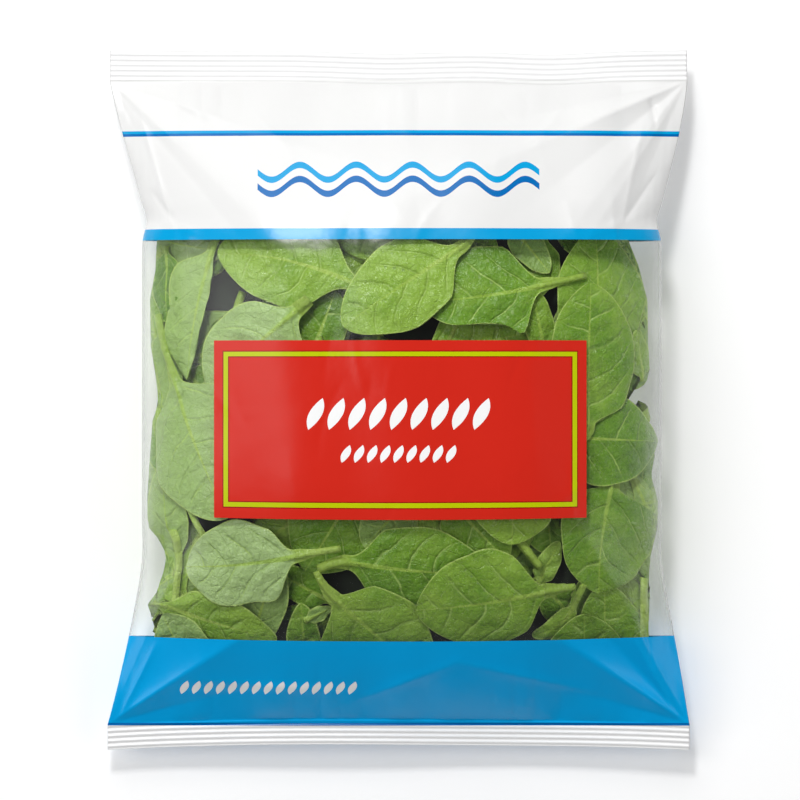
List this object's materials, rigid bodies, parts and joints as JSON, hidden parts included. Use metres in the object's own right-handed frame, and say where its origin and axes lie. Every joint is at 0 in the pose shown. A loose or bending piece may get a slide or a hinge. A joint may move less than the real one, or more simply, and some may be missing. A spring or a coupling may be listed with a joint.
{
  "type": "bag of baby spinach",
  "caption": "Sealed clear pillow bag filled with baby spinach leaves, with a white top band, a blue bottom band, a red label and ribbed heat seals at both ends.",
  "frame": {"origin": "middle of the bag's length and width, at the lowest level of its back, which is the surface it lies on", "axes": "+X to the right of the printed face, +Y from the bottom seal to the top seal, +Z out of the printed face"},
  "size_m": [0.2336, 0.281, 0.0609],
  "materials": {
    "film": "thin clear glossy film, printed on the front",
    "leaf": "fresh satin leaf, stands for spinach leaves and stalks inside the film"
  },
  "bodies": {
    "root": {"bag": "film"}
  },
  "joints": []
}
